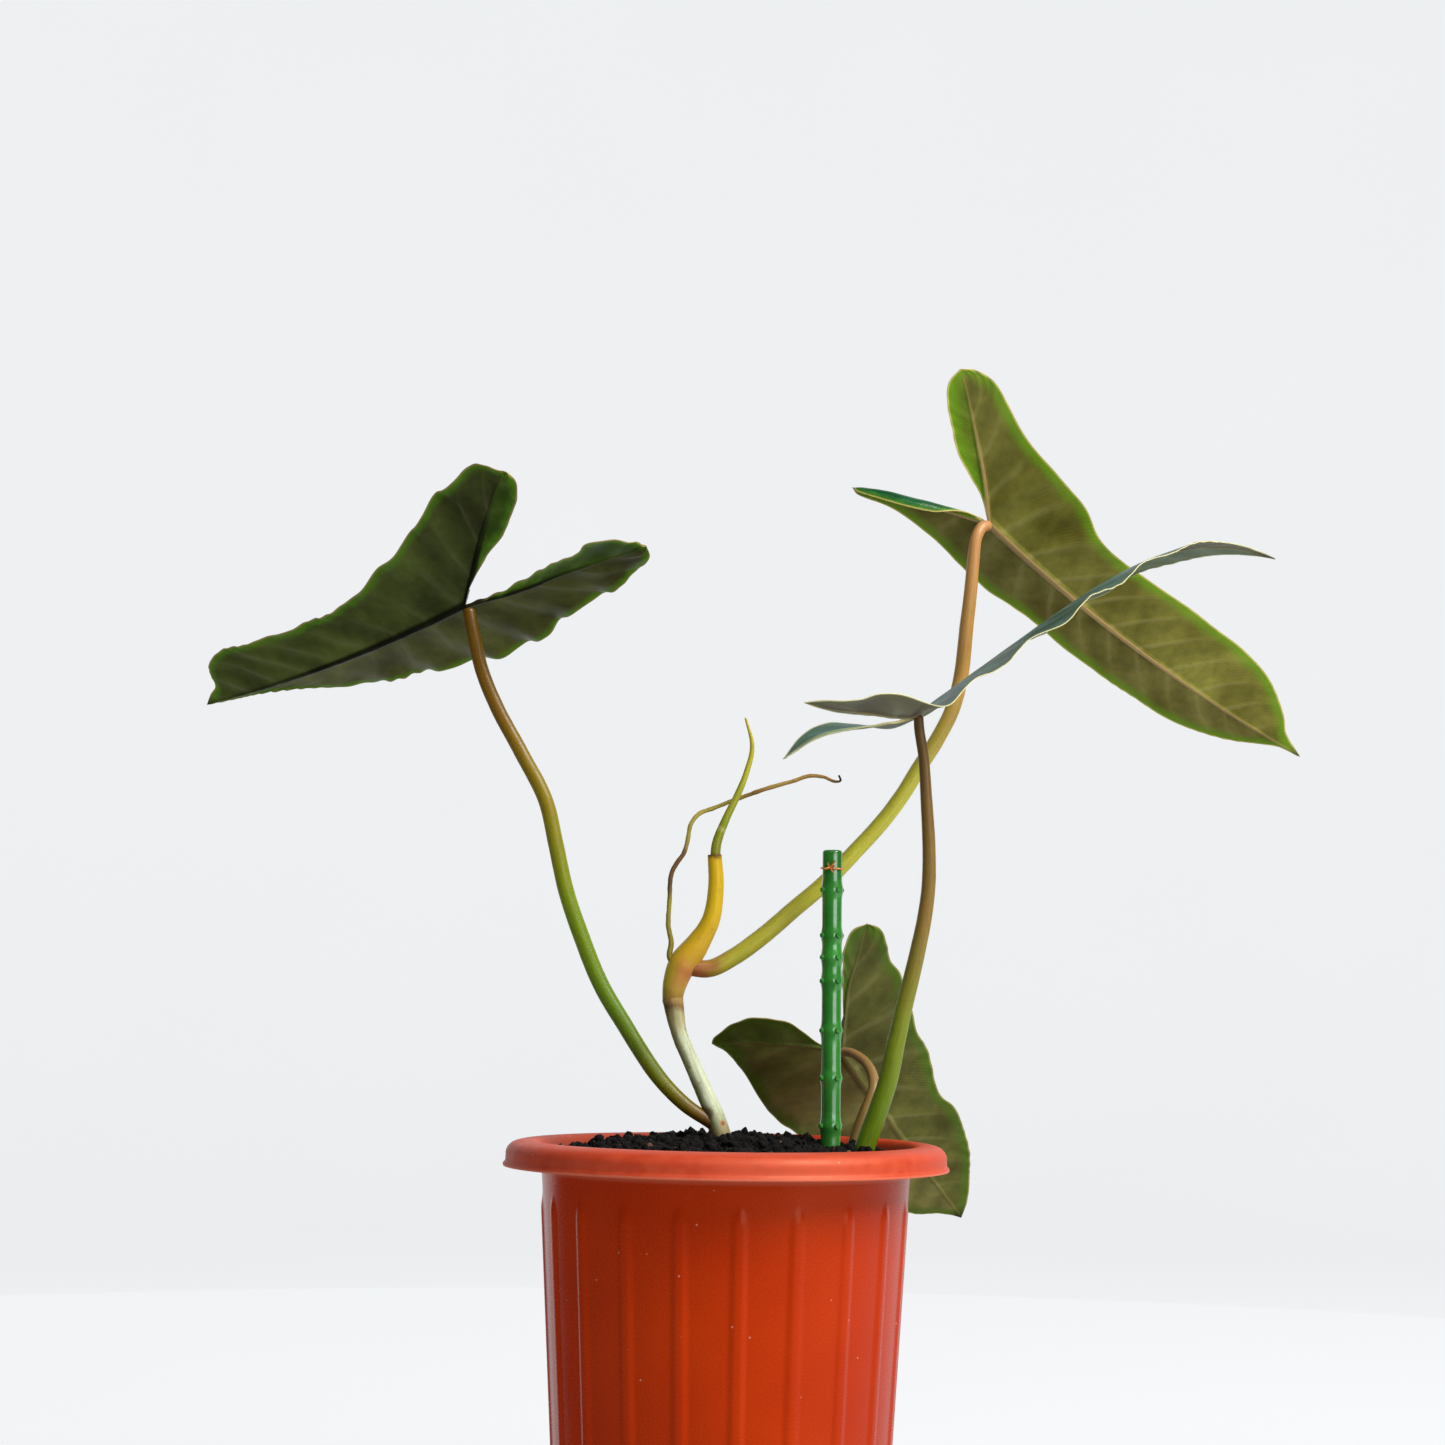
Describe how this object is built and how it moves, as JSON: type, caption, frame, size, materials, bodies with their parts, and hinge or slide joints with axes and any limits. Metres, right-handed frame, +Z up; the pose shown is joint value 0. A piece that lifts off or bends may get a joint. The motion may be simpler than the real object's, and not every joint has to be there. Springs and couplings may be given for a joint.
{
  "type": "potted philodendron",
  "caption": "Young climbing aroid with arrow-shaped leaves on thin stalks, a new leaf spike in a yellow sheath, an aerial root and a green stake, in a ribbed terracotta-red plastic pot of soil.",
  "frame": {"origin": "centre of the pot's underside, on the surface that it stands on", "axes": "+Z up; the plant is seen along +Y in the picture, so -Y is its front and +X its right"},
  "size_m": [0.6656, 0.3203, 0.6658],
  "materials": {
    "pot_plastic": "semi-gloss moulded, terracotta red",
    "potting_soil": "matte, crumbly, near black",
    "stem_skin": "satin, pale grey-green with brown scars",
    "sheath_skin": "satin, yellow with an orange foot",
    "spike_skin": "satin, yellow-green",
    "root_skin": "matte, olive and brown",
    "petiole_skin": "satin, olive green to tan",
    "leaf_dark": "satin, olive brown below and dark green above",
    "leaf_glaucous": "satin, blue-green bloom",
    "stake_coating": "glossy green coating",
    "tie_wire": "satin copper colour"
  },
  "bodies": {
    "root": {"pot": "pot_plastic", "soil": "potting_soil", "main_stem": "stem_skin", "sheath": "sheath_skin", "leaf_spike": "spike_skin", "aerial_root": "root_skin", "petiole_left": "petiole_skin", "petiole_upper_right": "petiole_skin", "petiole_right": "petiole_skin", "petiole_low": "petiole_skin", "blade_left": "leaf_dark", "blade_upper_right": "leaf_dark", "blade_right": "leaf_glaucous", "blade_low": "leaf_dark", "plant_stake": "stake_coating", "twist_tie": "tie_wire"}
  },
  "joints": []
}
